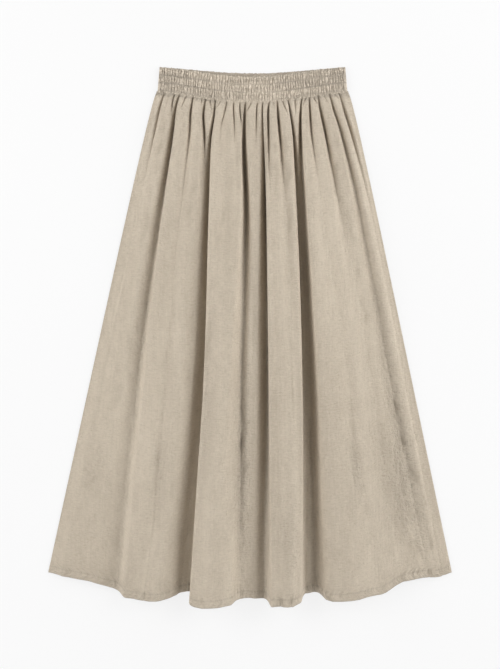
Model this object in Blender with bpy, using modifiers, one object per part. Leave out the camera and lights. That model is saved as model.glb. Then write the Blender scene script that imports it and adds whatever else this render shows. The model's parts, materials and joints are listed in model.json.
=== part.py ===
"""A gathered A-line midi skirt with an elastic waistband, laid flat with its front up.

+X is the wearer's left side as seen from above, +Y runs up to the waist, +Z up from the surface.
The origin is in the middle of the skirt's outline, on the surface that it lies on.
Sizes are in metres. Every panel is one wall of cloth, folded as the cloth falls.
"""

import math

import bmesh
import bpy

# Driving sizes
LENGTH = 0.8775  # from the corners of the waistband to the lowest point of the hem
WAIST_WIDTH = 0.306  # top edge of the waistband, elastic relaxed
BAND_FOOT_WIDTH = 0.313  # waistband at the seam
HEM_WIDTH = 0.661
BAND_DEPTH = 0.042  # waistband at its ends, top edge to seam
SIDE_FALL = 0.785  # side edge of a panel, seam to hem, measured down the middle axis
CLOTH = 0.0012  # wall of a panel
SEAM_GAP = 0.0003  # between pieces that are sewn together

# The curves that the edges lie in, each a drop below its two ends
FRONT_TOP_DIP = 0.0145
BACK_TOP_DIP = 0.0090
SEAM_DIP = 0.0165
SIDE_BULGE = 0.0045  # the sides stand out this much from a straight line, most of it near the waist
WAIST_SHIFT = 0.004  # the waist lies this much to the right of the hem
HEM_TILT = 0.45  # the hem of a fold that stands up lies further down by this share
BACK_HEM_LIFT = 0.10  # the back hem hides behind the front one by this share of its drop

# The waistband's casing
BAND_WALL = 0.0024
BAND_HOLLOW = 0.0008  # between its front and its back
CHANNELS = 3  # elastics, one above the other
CHANNEL_PUFF = 0.0009
RIDGE = 0.0005  # half the height of a shirring ridge
RIDGES = 60  # on the front
END_STEPS = 4  # columns round each end fold
BACK_STEPS = 30  # columns of its back, which lies flat

# The front panel
GATHERS = 36  # tucks sewn into the seam
COLUMNS_PER_GATHER = 4
GATHER_HEIGHT = 0.0009
GATHER_SWELL = 0.0024
SEAM_STRIP = 0.003  # share of the length next to the seam that the stitches hold level
GATHER_CLEARANCE = 0.0017  # the front stays this high over the back panel's gathers
PANEL_ROWS = (0, 0.003, 0.012, 0.028, 0.05, 0.08, 0.12, 0.18, 0.26, 0.36, 0.47, 0.59, 0.71, 0.83, 0.93, 1)
BACK_GATHERS = 30
COLUMNS_PER_BACK_GATHER = 3  # one on the ridge, two on the surface
BACK_GATHER_HEIGHT = 0.0006
BACK_GATHER_SWELL = 0.0009
BACK_GATHER_REACH = 0.3  # share of the length in which they die away
BACK_ROWS = (0, 0.03, 0.07, 0.13, 0.22, 0.35, 0.55, 0.78, 1)

REST_LEVEL = CLOTH / 2  # middle of the back panel's wall
FRONT_LEVEL = REST_LEVEL + CLOTH + SEAM_GAP  # middle of the front wall where it lies on the back
SEAM_LEVEL = 1.5 * BAND_WALL + BAND_HOLLOW  # middle of the waistband's front wall

# Places down a panel at which the fold tables give their values: 0 is the seam, 1 the hem. Between
# them the values run with the root of the distance, since folds change most near the seam.
STATIONS = (0, 0.08, 0.25, 0.6, 1)

# Valleys between the folds of the front. tuck: which gather the valley starts in. at: how far across
# the panel its floor is. deep: how much of the height there it takes away. left, right: how far its
# sides reach in millimetres at the seam and at the hem. lean: how far the floor slides under the
# fold beside it, per unit of depth; + is to the right.
VALLEYS = (
    dict(tuck=1, at=(0.043, 0.042, 0.035, 0.035, 0.035), deep=(0.5, 0.35, 0.04, 0, 0),
         left=(6, 14), right=(6, 14), lean=0),
    dict(tuck=4, at=(0.119, 0.119, 0.127, 0.147, 0.168), deep=(0.75, 0.85, 0.7, 0.5, 0.5),
         left=(5, 30), right=(4, 12), lean=0.35),
    dict(tuck=6, at=(0.190, 0.202, 0.215, 0.225, 0.240), deep=(0.6, 0.45, 0.12, 0.1, 0.05),
         left=(6, 22), right=(6, 22), lean=0),
    dict(tuck=9, at=(0.252, 0.275, 0.303, 0.314, 0.318), deep=(0.6, 0.5, 0.3, 0.25, 0.3),
         left=(6, 24), right=(6, 16), lean=0.1),
    dict(tuck=11, at=(0.308, 0.302, 0.322, 0.342, 0.345), deep=(0.7, 0.88, 0.9, 0.88, 0.85),
         left=(5, 28), right=(4, 8), lean=0.35),
    dict(tuck=16, at=(0.462, 0.462, 0.474, 0.480, 0.472), deep=(0.8, 0.88, 0.75, 0.58, 0.35),
         left=(4, 12), right=(6, 30), lean=-0.35),
    dict(tuck=19, at=(0.548, 0.547, 0.543, 0.540, 0.531), deep=(0.5, 0.65, 0.9, 0.85, 0.5),
         left=(4, 22), right=(4, 10), lean=0.3),
    dict(tuck=20, at=(0.582, 0.576, 0.572, 0.575, 0.575), deep=(0.6, 0.3, 0.02, 0, 0),
         left=(5, 15), right=(5, 15), lean=0),
    dict(tuck=22, at=(0.622, 0.633, 0.637, 0.630, 0.600), deep=(0.6, 0.4, 0.12, 0.03, 0),
         left=(6, 25), right=(6, 25), lean=0),
    dict(tuck=24, at=(0.688, 0.693, 0.680, 0.659, 0.640), deep=(0.7, 0.82, 0.6, 0.5, 0.55),
         left=(5, 16), right=(5, 14), lean=0),
    dict(tuck=25, at=(0.748, 0.723, 0.701, 0.678, 0.662), deep=(0.75, 0.85, 0.92, 0.9, 0.85),
         left=(4, 10), right=(6, 24), lean=-0.35),
    dict(tuck=28, at=(0.800, 0.785, 0.780, 0.787, 0.790), deep=(0.4, 0.2, 0.03, 0.08, 0.05),
         left=(6, 30), right=(6, 30), lean=0),
    dict(tuck=30, at=(0.835, 0.846, 0.851, 0.849, 0.860), deep=(0.6, 0.45, 0.15, 0.08, 0.1),
         left=(6, 30), right=(6, 30), lean=0),
    dict(tuck=32, at=(0.898, 0.916, 0.936, 0.939, 0.955), deep=(0.7, 0.58, 0.4, 0.4, 0.25),
         left=(6, 34), right=(6, 26), lean=0),
    dict(tuck=34, at=(0.948, 0.968, 0.985, 0.989, 0.990), deep=(0.7, 0.5, 0.15, 0, 0),
         left=(6, 20), right=(6, 16), lean=0),
)

# How high the cloth stands between the valleys, in millimetres above FRONT_LEVEL at each station.
# across is counted in gathers, as the cloth is, so that a crest follows its valleys.
CRESTS = (
    dict(across=0.00, high=(0, 0, 0, 0, 0)),
    dict(across=0.012, high=(1, 1, 0.5, 0.3, 0.3)),
    dict(across=0.03, high=(2.3, 8, 7, 6, 5)),
    dict(across=0.07, high=(2.3, 12, 12, 10, 9)),
    dict(across=0.15, high=(2.3, 14, 17, 20, 20)),
    dict(across=0.23, high=(2.3, 14, 20, 24, 27)),
    dict(across=0.29, high=(2.3, 13, 16, 16, 16)),
    dict(across=0.35, high=(2.3, 16, 26, 33, 36)),
    dict(across=0.42, high=(2.3, 16, 26, 34, 38)),
    dict(across=0.50, high=(2.3, 14, 20, 20, 16)),
    dict(across=0.58, high=(2.3, 16, 26, 34, 37)),
    dict(across=0.65, high=(2.3, 16, 26, 33, 35)),
    dict(across=0.71, high=(2.3, 12, 14, 14, 14)),
    dict(across=0.77, high=(2.3, 15, 25, 31, 33)),
    dict(across=0.85, high=(2.3, 13, 18, 20, 18)),
    dict(across=0.92, high=(2.3, 11, 12, 11, 7)),
    dict(across=0.97, high=(2.3, 8, 7, 6, 5)),
    dict(across=0.988, high=(1, 1, 0.5, 0.3, 0.3)),
    dict(across=1.00, high=(0, 0, 0, 0, 0)),
)

# How far the flat line of the hem lies below its two corners
HEM_ARC = (
    dict(across=0.00, drop=0.000),
    dict(across=0.03, drop=0.0025),
    dict(across=0.10, drop=0.0075),
    dict(across=0.15, drop=0.0175),
    dict(across=0.20, drop=0.0290),
    dict(across=0.24, drop=0.0315),
    dict(across=0.30, drop=0.0270),
    dict(across=0.38, drop=0.0310),
    dict(across=0.46, drop=0.0290),
    dict(across=0.53, drop=0.0370),
    dict(across=0.60, drop=0.0320),
    dict(across=0.67, drop=0.0295),
    dict(across=0.74, drop=0.0250),
    dict(across=0.82, drop=0.0185),
    dict(across=0.88, drop=0.0065),
    dict(across=0.95, drop=0.0030),
    dict(across=1.00, drop=0.000),
)

# Pressed folds of the back panel, which stand up inside the skirt: place at the seam and at the
# hem, height in millimetres, reach to each side in millimetres at the seam and at the hem
BACK_FOLDS = (
    dict(at=(0.10, 0.075), high=2.0, reach=(7, 22)),
    dict(at=(0.21, 0.205), high=2.6, reach=(7, 24)),
    dict(at=(0.39, 0.405), high=2.8, reach=(8, 26)),
    dict(at=(0.58, 0.595), high=2.8, reach=(8, 24)),
    dict(at=(0.72, 0.765), high=2.6, reach=(7, 26)),
    dict(at=(0.87, 0.890), high=2.0, reach=(7, 22)),
)

CLOTH_COLOUR = (0.52, 0.45, 0.36, 1)
BAND_COLOUR = (0.48, 0.41, 0.33, 1)
BACK_COLOUR = (0.50, 0.43, 0.35, 1)


class Curve:
    """A smooth line through points, which never swings past them."""

    def __init__(self, places, values):
        self.x, self.y = list(places), list(values)
        steps = [b - a for a, b in zip(self.x, self.x[1:])]
        rises = [(b - a) / h for a, b, h in zip(self.y, self.y[1:], steps)]
        self.slopes = [rises[0]]
        for before, after in zip(rises, rises[1:]):
            level = before * after <= 0
            self.slopes.append(0 if level else 2 * before * after / (before + after))
        self.slopes.append(rises[-1])

    def __call__(self, x):
        i = 0
        while i < len(self.x) - 2 and x > self.x[i + 1]:
            i += 1
        h = self.x[i + 1] - self.x[i]
        t = min(max((x - self.x[i]) / h, 0), 1)
        return (
            self.y[i] * (1 + 2 * t) * (1 - t) ** 2
            + self.y[i + 1] * t * t * (3 - 2 * t)
            + h * t * (1 - t) * (self.slopes[i] * (1 - t) - self.slopes[i + 1] * t)
        )


def blend(a, b, share):
    return a + (b - a) * share


def bump(t):
    """1 in the middle, falling smoothly to 0 at -1 and 1."""
    return (1 - t * t) ** 2 if abs(t) < 1 else 0


def sag(x):
    """0 at both ends of the waist and 1 in the middle, with quiet ends."""
    return max(math.cos(math.pi * x / BAND_FOOT_WIDTH), 0) ** 1.5


def panel_width(down):
    bulge = 2 * SIDE_BULGE * math.sin(math.pi * down ** 0.4)
    return blend(BAND_FOOT_WIDTH, HEM_WIDTH, down) + bulge


hem_arc = Curve([row["across"] for row in HEM_ARC], [row["drop"] for row in HEM_ARC])
stations = [math.sqrt(station) for station in STATIONS]
valley_lines = [Curve(stations, row["at"]) for row in VALLEYS]
valley_depths = [Curve(stations, row["deep"]) for row in VALLEYS]
crest_lines = [Curve(stations, row["high"]) for row in CRESTS]


class FoldRow:
    """The front panel's folds at one place down its length."""

    CROWDING_AT_SEAM = 0.15  # how much the columns draw together in the valleys
    CROWDING = 0.5

    def __init__(self, down):
        self.down = down
        self.width = panel_width(down)
        place = math.sqrt(down)
        self.tucks = [0, *((row["tuck"] + 0.5) / GATHERS for row in VALLEYS), 1]
        self.floors = [0, *(line(place) for line in valley_lines), 1]
        self.depths = [line(place) for line in valley_depths]
        self.heights = Curve(
            [row["across"] for row in CRESTS],
            [line(place) / 1000 for line in crest_lines],
        )
        self.crowding = blend(self.CROWDING_AT_SEAM, self.CROWDING, min(down / 0.25, 1))

    def across(self, cloth):
        """How far across the outline the cloth lies, before its folds lean."""
        i = 0
        while i < len(self.tucks) - 2 and cloth > self.tucks[i + 1]:
            i += 1
        t = (cloth - self.tucks[i]) / (self.tucks[i + 1] - self.tucks[i])
        t -= self.crowding * math.sin(2 * math.pi * t) / (2 * math.pi)
        return blend(self.floors[i], self.floors[i + 1], t)

    def fold(self, cloth):
        """(how far across, height above FRONT_LEVEL, sideways lean) of a point of the cloth."""
        across = self.across(cloth)
        full = self.heights(cloth)
        left_over, lean = 1, 0
        for row, floor, deep in zip(VALLEYS, self.floors[1:], self.depths):
            side = row["left"] if across < floor else row["right"]
            reach = blend(*side, self.down ** 0.8) / 1000
            share = deep * bump((across - floor) * self.width / reach)
            left_over *= 1 - share
            lean += row["lean"] * share * full
        return across, full * left_over, lean


def gather(cloth, down):
    """Height that the tucks at the seam add."""
    k = round(cloth * GATHERS)
    reach = 0.055 + 0.03 * math.sin(2.4 * k)
    swell = GATHER_HEIGHT + GATHER_SWELL * min(down / 0.02, 1)
    fade = math.exp(-((down / reach) ** 2))
    edge = min(1, 20 * cloth, 20 * (1 - cloth))
    return swell * fade * edge * math.cos(2 * math.pi * GATHERS * cloth) * (1 + 0.3 * math.sin(4.1 * k))


def seam_y(x):
    return LENGTH / 2 - BAND_DEPTH - SEAM_DIP * sag(x)


def panel_place(across, down, drop_share=1):
    """(x, y) of a point of a panel that lies flat."""
    x = (across - 0.5) * panel_width(down) + WAIST_SHIFT * (1 - down)
    seam = seam_y((across - 0.5) * BAND_FOOT_WIDTH) - SEAM_GAP
    hem = LENGTH / 2 - BAND_DEPTH - SIDE_FALL - drop_share * hem_arc(across)
    return x, blend(seam, hem, down)


def front_point(cloth, down, rows):
    """Place of a point of the front panel: cloth counts across it, down from the seam to the hem."""
    below_strip = max(down - SEAM_STRIP, 0)
    row = rows.setdefault(down, FoldRow(below_strip))
    across, height, lean = row.fold(cloth)
    clearance = GATHER_CLEARANCE * bump(down / BACK_GATHER_REACH) * min(1, 20 * cloth, 20 * (1 - cloth))
    height = max(height + gather(cloth, below_strip), clearance)
    x, y = panel_place(across, down)
    return x + lean, y - HEM_TILT * height * down ** 2, FRONT_LEVEL + height


def back_point(across, down):
    """Place of a point of the back panel, which lies on the surface between its folds."""
    height = 0
    for row in BACK_FOLDS:
        reach = blend(*row["reach"], down) / 1000
        place = blend(*row["at"], down)
        height += row["high"] / 1000 * bump((across - place) * panel_width(down) / reach)
    height *= min(1, down / 0.25)
    swell = BACK_GATHER_HEIGHT + BACK_GATHER_SWELL * min(down / 0.07, 1)
    edge = min(1, max(0, 30 * (across - 0.03)), max(0, 30 * (0.97 - across)))
    ridge = max(0, math.cos(2 * math.pi * (BACK_GATHERS * across - 1 / COLUMNS_PER_BACK_GATHER)))
    height = max(height, swell * edge * ridge * bump(down / BACK_GATHER_REACH))
    x, y = panel_place(across, down, 1 - BACK_HEM_LIFT)
    return x, y, REST_LEVEL + height


def cloth_wall(name, columns, rows, point_at, material):
    """A grid of cloth, each point put in its place, with its wall added by Solidify."""
    mesh = bpy.data.meshes.new(name)
    grid = bmesh.new()
    bmesh.ops.create_grid(grid, x_segments=columns, y_segments=len(rows) - 1, size=0.5)
    for vert in grid.verts:
        row = round((0.5 - vert.co.y) * (len(rows) - 1))
        vert.co = point_at(vert.co.x + 0.5, rows[row])
    for face in grid.faces:
        face.smooth = True
    grid.to_mesh(mesh)
    grid.free()
    wall = bpy.data.objects.new(name, mesh)
    mesh.materials.append(material)
    solidify = wall.modifiers.new("wall", "SOLIDIFY")
    solidify.thickness = CLOTH
    solidify.offset = 0
    return wall


def band_loop():
    """Places round the waistband: (side, share across, turn round the end) for each column."""
    front = [(1, i / (2 * RIDGES), 0) for i in range(2 * RIDGES + 1)]
    back = [(-1, 1 - i / BACK_STEPS, 0) for i in range(BACK_STEPS + 1)]
    turns = [math.pi * i / END_STEPS for i in range(1, END_STEPS)]
    right_end = [(0, 1, turn) for turn in turns]
    left_end = [(0, 0, turn) for turn in reversed(turns)]
    return front + right_end + back + left_end


def band_section():
    """Rows round the wall: (share down from the top edge, outward offset, is it a channel's crown)."""
    outside = [(i / (2 * CHANNELS), BAND_WALL / 2, i % 2 == 1) for i in range(2 * CHANNELS + 1)]
    inside = [(1, -BAND_WALL / 2, False), (0, -BAND_WALL / 2, False)]
    return outside + inside


def band_point(column, place, row):
    """Place of a point of the waistband's wall."""
    side, across, turn = place
    share, offset, crown = row
    if side == 0:
        facing = math.cos(turn)
        outward = math.sin(turn) * (1 if across == 1 else -1)
    else:
        facing, outward = side, 0
    front_share = (facing + 1) / 2
    if offset > 0 and side >= 0:
        offset += crown * CHANNEL_PUFF * (front_share if side == 0 else 1)
        offset += RIDGE * (-1) ** column * (side == 1)
    radius = SEAM_LEVEL / 2 - BAND_WALL / 4 + offset
    width = blend(WAIST_WIDTH, BAND_FOOT_WIDTH, share) - 2 * CHANNEL_PUFF
    half_core = width / 2 - BAND_WALL - BAND_HOLLOW / 2
    x = (across - 0.5) * 2 * half_core + radius * outward
    z = BAND_WALL + BAND_HOLLOW / 2 + radius * facing
    top_dip = blend(BACK_TOP_DIP, FRONT_TOP_DIP, front_share)
    top = LENGTH / 2 - top_dip * sag(x)
    return x + WAIST_SHIFT, blend(top, seam_y(x), share), z


def waistband(material):
    """The casing: a ring whose section is the wall, flattened so that its front lies on its back."""
    loop, section = band_loop(), band_section()
    bpy.ops.mesh.primitive_torus_add(major_segments=len(loop), minor_segments=len(section))
    band = bpy.context.object
    band.name = band.data.name = "waistband"
    for i, place in enumerate(loop):
        for j, row in enumerate(section):
            band.data.vertices[i * len(section) + j].co = band_point(i, place, row)
    work = bmesh.new()
    work.from_mesh(band.data)
    bmesh.ops.recalc_face_normals(work, faces=work.faces)
    work.to_mesh(band.data)
    work.free()
    band.data.shade_smooth()
    band.data.materials.append(material)
    return band


def cloth_material(name, colour):
    material = bpy.data.materials.new(name)
    material.use_nodes = True
    shader = material.node_tree.nodes["Principled BSDF"]
    shader.inputs["Base Color"].default_value = colour
    shader.inputs["Roughness"].default_value = 0.9
    shader.inputs["Metallic"].default_value = 0
    return material


def build_skirt():
    for thing in list(bpy.data.objects):
        bpy.data.objects.remove(thing)
    fold_rows = {}
    front = cloth_wall(
        "front_panel",
        GATHERS * COLUMNS_PER_GATHER,
        PANEL_ROWS,
        lambda cloth, down: front_point(cloth, down, fold_rows),
        cloth_material("front_cloth", CLOTH_COLOUR),
    )
    back_columns = BACK_GATHERS * COLUMNS_PER_BACK_GATHER
    back_cloth = cloth_material("back_cloth", BACK_COLOUR)
    back = cloth_wall("back_panel", back_columns, BACK_ROWS, back_point, back_cloth)
    band = waistband(cloth_material("band_cloth", BAND_COLOUR))
    skirt = bpy.data.collections.new("midi_skirt")
    bpy.context.scene.collection.children.link(skirt)
    for piece in (front, back, band):
        for holder in list(piece.users_collection):
            holder.objects.unlink(piece)
        skirt.objects.link(piece)


build_skirt()
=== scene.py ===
"""A gathered midi skirt of washed linen and cotton, laid flat with its front up, seen from above.

Metres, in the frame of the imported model: +X to the right, +Y to the waist, +Z up from the floor.
Every panel is one thin shell of cloth on the form of its solid, with the gathers, creases, hem and
stitching that the solid leaves out.
"""

import json
import math

import bmesh
import bpy
import numpy as np
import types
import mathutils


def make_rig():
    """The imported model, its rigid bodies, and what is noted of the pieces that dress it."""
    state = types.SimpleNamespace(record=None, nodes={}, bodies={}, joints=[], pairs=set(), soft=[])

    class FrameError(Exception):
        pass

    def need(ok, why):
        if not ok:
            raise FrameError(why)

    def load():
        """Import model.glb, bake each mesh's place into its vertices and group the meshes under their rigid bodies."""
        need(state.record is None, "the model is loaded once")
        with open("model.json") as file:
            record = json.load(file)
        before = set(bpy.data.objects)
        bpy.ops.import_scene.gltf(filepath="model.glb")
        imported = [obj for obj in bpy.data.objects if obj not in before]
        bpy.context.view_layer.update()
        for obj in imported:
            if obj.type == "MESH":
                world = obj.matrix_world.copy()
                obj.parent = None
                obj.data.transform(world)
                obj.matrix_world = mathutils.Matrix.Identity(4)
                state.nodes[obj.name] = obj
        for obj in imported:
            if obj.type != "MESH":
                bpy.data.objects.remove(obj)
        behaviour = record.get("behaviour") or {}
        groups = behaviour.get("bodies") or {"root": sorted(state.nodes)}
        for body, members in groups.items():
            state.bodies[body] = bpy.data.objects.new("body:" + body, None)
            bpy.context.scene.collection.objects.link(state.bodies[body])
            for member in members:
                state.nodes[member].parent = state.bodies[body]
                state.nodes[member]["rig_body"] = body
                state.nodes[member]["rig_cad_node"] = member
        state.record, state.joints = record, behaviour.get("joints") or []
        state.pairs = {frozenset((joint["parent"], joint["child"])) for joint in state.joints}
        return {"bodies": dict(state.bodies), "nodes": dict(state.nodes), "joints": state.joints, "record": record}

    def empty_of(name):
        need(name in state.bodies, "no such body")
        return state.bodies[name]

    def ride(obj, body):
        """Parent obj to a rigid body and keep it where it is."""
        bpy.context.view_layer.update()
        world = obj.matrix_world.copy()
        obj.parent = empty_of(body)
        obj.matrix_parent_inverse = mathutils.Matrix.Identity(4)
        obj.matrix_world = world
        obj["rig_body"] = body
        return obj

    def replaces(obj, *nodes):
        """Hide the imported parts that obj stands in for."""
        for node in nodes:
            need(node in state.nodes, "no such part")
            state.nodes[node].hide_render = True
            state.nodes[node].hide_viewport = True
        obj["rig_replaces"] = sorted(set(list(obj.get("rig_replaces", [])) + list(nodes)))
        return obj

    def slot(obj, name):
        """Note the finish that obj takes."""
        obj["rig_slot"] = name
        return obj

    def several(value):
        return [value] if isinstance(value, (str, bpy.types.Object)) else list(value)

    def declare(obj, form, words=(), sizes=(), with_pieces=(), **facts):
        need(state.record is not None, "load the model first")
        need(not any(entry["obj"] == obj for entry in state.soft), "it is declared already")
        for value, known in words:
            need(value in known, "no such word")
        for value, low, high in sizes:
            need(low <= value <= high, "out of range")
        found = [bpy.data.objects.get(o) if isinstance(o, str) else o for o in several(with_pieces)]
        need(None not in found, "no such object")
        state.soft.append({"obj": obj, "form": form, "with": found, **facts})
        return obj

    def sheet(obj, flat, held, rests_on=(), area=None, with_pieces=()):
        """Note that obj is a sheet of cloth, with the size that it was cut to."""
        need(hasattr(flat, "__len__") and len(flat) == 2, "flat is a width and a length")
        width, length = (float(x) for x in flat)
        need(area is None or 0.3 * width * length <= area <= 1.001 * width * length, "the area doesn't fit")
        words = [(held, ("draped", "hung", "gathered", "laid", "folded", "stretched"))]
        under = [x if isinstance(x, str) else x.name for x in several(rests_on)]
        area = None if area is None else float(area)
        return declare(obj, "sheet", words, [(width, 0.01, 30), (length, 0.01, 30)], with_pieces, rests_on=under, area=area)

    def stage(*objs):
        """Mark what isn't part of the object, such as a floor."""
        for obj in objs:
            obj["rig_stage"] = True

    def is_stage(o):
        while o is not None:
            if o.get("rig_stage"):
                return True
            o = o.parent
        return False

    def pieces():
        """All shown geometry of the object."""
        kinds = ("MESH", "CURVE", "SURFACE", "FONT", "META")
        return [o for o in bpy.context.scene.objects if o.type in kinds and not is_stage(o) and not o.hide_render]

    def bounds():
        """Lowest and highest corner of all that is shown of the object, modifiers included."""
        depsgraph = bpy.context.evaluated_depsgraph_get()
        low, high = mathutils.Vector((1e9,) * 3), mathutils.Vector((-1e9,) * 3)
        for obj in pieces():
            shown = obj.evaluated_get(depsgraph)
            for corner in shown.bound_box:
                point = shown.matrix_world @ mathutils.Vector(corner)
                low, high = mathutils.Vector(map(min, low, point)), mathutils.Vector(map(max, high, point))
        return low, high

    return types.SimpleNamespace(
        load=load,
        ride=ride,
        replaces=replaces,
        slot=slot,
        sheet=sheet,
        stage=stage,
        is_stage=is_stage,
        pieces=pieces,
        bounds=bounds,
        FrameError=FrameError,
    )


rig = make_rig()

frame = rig.load()
cad_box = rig.bounds()
bpy.ops.object.select_all(action="DESELECT")

# ------------------------------------------------------------ sizes, as in the skirt's solids

LENGTH = 0.8775  # from the corners of the waistband to the lowest point of the hem
WAIST_WIDTH = 0.306
BAND_FOOT_WIDTH = 0.313  # waistband at the seam
HEM_WIDTH = 0.661
BAND_DEPTH = 0.042
SIDE_FALL = 0.785  # from the seam to the corners of the hem
FRONT_TOP_DIP = 0.0165  # how far the middle of each edge lies below its ends
BACK_TOP_DIP = 0.0100
SEAM_DIP = 0.0165
SIDE_BULGE = 0.0045  # how far the sides swing out
WAIST_SHIFT = 0.004  # how far the waist lies to the right of the hem's middle
HEM_TILT = 0.45  # how far raised cloth hangs out at the hem, as a share of its height
BACK_HEM_LIFT = 0.10  # how much shallower the back's hem curves, as a share

# Heights of the middle of each layer of cloth
PANEL_WALL = 0.0007
REST_LEVEL = PANEL_WALL / 2  # the back panel on the floor
FRONT_LEVEL = 0.0021
BAND_WALL = 0.0024
BAND_HOLLOW = 0.0008  # between the front and the back of the waistband
SEAM_LEVEL = 1.5 * BAND_WALL + BAND_HOLLOW
CHANNELS = 3
FOOT_LIP = 0.0032  # cloth of the waistband below its last row of stitches
TUCKED_IN = 0.0030  # cloth of the panels that goes up inside the waistband

GATHERS = 36
BACK_GATHERS = 30
BACK_GATHER_HEIGHTS = (0.0005, 0.0015)  # at the seam and below it
TUCK_PULL = 0.6  # how much closer the mesh is in the pinched valleys than on average
TUCK_WIDTH = 0.0022  # from the middle of a pinched valley to its edge, at the seam
CROWDING = (0.15, 0.5)  # how much more cloth the valleys' sides take, at the seam and below it
LEAST_PUFF = 0.0010  # what even the deepest gather keeps of its height, at the seam
SIDE_TURN = 0.0004  # how far the side folds turn down to the back

HEM_TURN = 0.012  # depth of the turned-up hem
HEM_STITCHES = HEM_TURN - 0.0012  # from the edge up to the row of stitches
HEM_EXTRA = 0.0005  # what the turned-up cloth adds to the thickness
HEM_WAVE = 0.0004  # how far the edge wavers
FRONT_HEM_CLOTH = 0.86  # metres of cloth along the hem
BACK_HEM_CLOTH = 0.80
PUCKER_PITCH = 0.0085
PUCKER_HEIGHT = 0.0007
STITCH_GROOVE = 0.0005  # depth of the groove that the stitches draw

# Soft waves of the washed cloth: how many lie round a panel, and their height in millimetres
PLEATS = 52
PLEAT_HEIGHTS = (1.6, 1.1)  # near the seam and lower down
RIPPLES = 21
RIPPLE_HEIGHT = 1.7
STREAKS = 110
STREAK_HEIGHT = 0.45
LEAST_CRUMPLE = 0.12
CREASE_WANDER = 0.0024  # how far the creases stray from their lines, in metres
NOISE_SIZE = 128  # lumps before the noise repeats

# Where the tables of heights and of valleys give values, from the seam (0) to the hem (1)
STATIONS = (0, 0.08, 0.25, 0.6, 1)
VALLEY_STATIONS = (0, 0.03, 0.08, 0.25, 0.6, 1)

# The valleys between the folds, with the meanings that the solids give them: the gather each starts
# in, its place across the panel, its share of the height there, the reach of its sides in
# millimetres at the seam and at the hem, and how far the folds lean over it to the right
VALLEYS = (
    dict(tuck=1, at=(0.045, 0.043, 0.046, 0.045, 0.035, 0.035),
         deep=(0.60, 0.55, 0.30, 0.04, 0, 0), left=(3, 14), right=(3, 14), lean=0),
    dict(tuck=4, at=(0.121, 0.118, 0.124, 0.129, 0.147, 0.168),
         deep=(0.80, 0.90, 0.85, 0.68, 0.52, 0.50), left=(2.5, 34), right=(2, 18), lean=0.22),
    dict(tuck=6, at=(0.191, 0.195, 0.207, 0.215, 0.232, 0.240),
         deep=(0.70, 0.50, 0.35, 0.20, 0.13, 0.06), left=(3, 26), right=(3, 26), lean=0),
    dict(tuck=9, at=(0.256, 0.257, 0.276, 0.303, 0.314, 0.318),
         deep=(0.70, 0.60, 0.40, 0.12, 0.12, 0.15), left=(3, 24), right=(3, 16), lean=0.1),
    dict(tuck=11, at=(0.304, 0.309, 0.303, 0.318, 0.340, 0.339),
         deep=(0.90, 0.95, 0.92, 0.93, 0.90, 0.94), left=(2.5, 26), right=(2, 9), lean=0.38),
    dict(tuck=16, at=(0.465, 0.461, 0.463, 0.480, 0.470, 0.473),
         deep=(0.90, 0.95, 0.95, 0.62, 0.34, 0), left=(2, 32), right=(2.5, 18), lean=-0.05),
    dict(tuck=19, at=(0.555, 0.549, 0.549, 0.545, 0.539, 0.533),
         deep=(0.50, 0.40, 0.50, 0.93, 0.88, 0.60), left=(1.5, 20), right=(1.5, 14), lean=0.25),
    dict(tuck=20, at=(0.590, 0.578, 0.576, 0.572, 0.575, 0.575),
         deep=(0.60, 0.60, 0.25, 0, 0, 0), left=(2.5, 15), right=(2.5, 15), lean=0),
    dict(tuck=22, at=(0.628, 0.628, 0.631, 0.635, 0.630, 0.600),
         deep=(0.70, 0.60, 0.35, 0.10, 0.03, 0), left=(3, 25), right=(3, 25), lean=0),
    dict(tuck=24, at=(0.685, 0.691, 0.696, 0.690, 0.668, 0.636),
         deep=(0.70, 0.90, 0.88, 0.90, 0.70, 0.35), left=(2, 8), right=(2.5, 14), lean=-0.3),
    dict(tuck=26, at=(0.762, 0.738, 0.724, 0.704, 0.683, 0.660),
         deep=(0.85, 0.90, 0.92, 0.96, 0.94, 0.85), left=(2.5, 16), right=(1.5, 22), lean=0.1),
    dict(tuck=28, at=(0.799, 0.786, 0.779, 0.778, 0.798, 0.803),
         deep=(0.60, 0.50, 0.30, 0.07, 0.13, 0.10), left=(3, 26), right=(3, 24), lean=0),
    dict(tuck=30, at=(0.842, 0.838, 0.843, 0.852, 0.866, 0.872),
         deep=(0.70, 0.65, 0.45, 0.20, 0.04, 0), left=(3, 26), right=(3, 26), lean=0),
    dict(tuck=32, at=(0.899, 0.902, 0.915, 0.931, 0.932, 0.940),
         deep=(0.75, 0.65, 0.45, 0.50, 0.48, 0.50), left=(3, 30), right=(3, 24), lean=0),
    dict(tuck=34, at=(0.950, 0.951, 0.960, 0.974, 0.975, 0.974),
         deep=(0.75, 0.70, 0.50, 0.15, 0, 0), left=(3, 20), right=(3, 16), lean=0),
)

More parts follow.
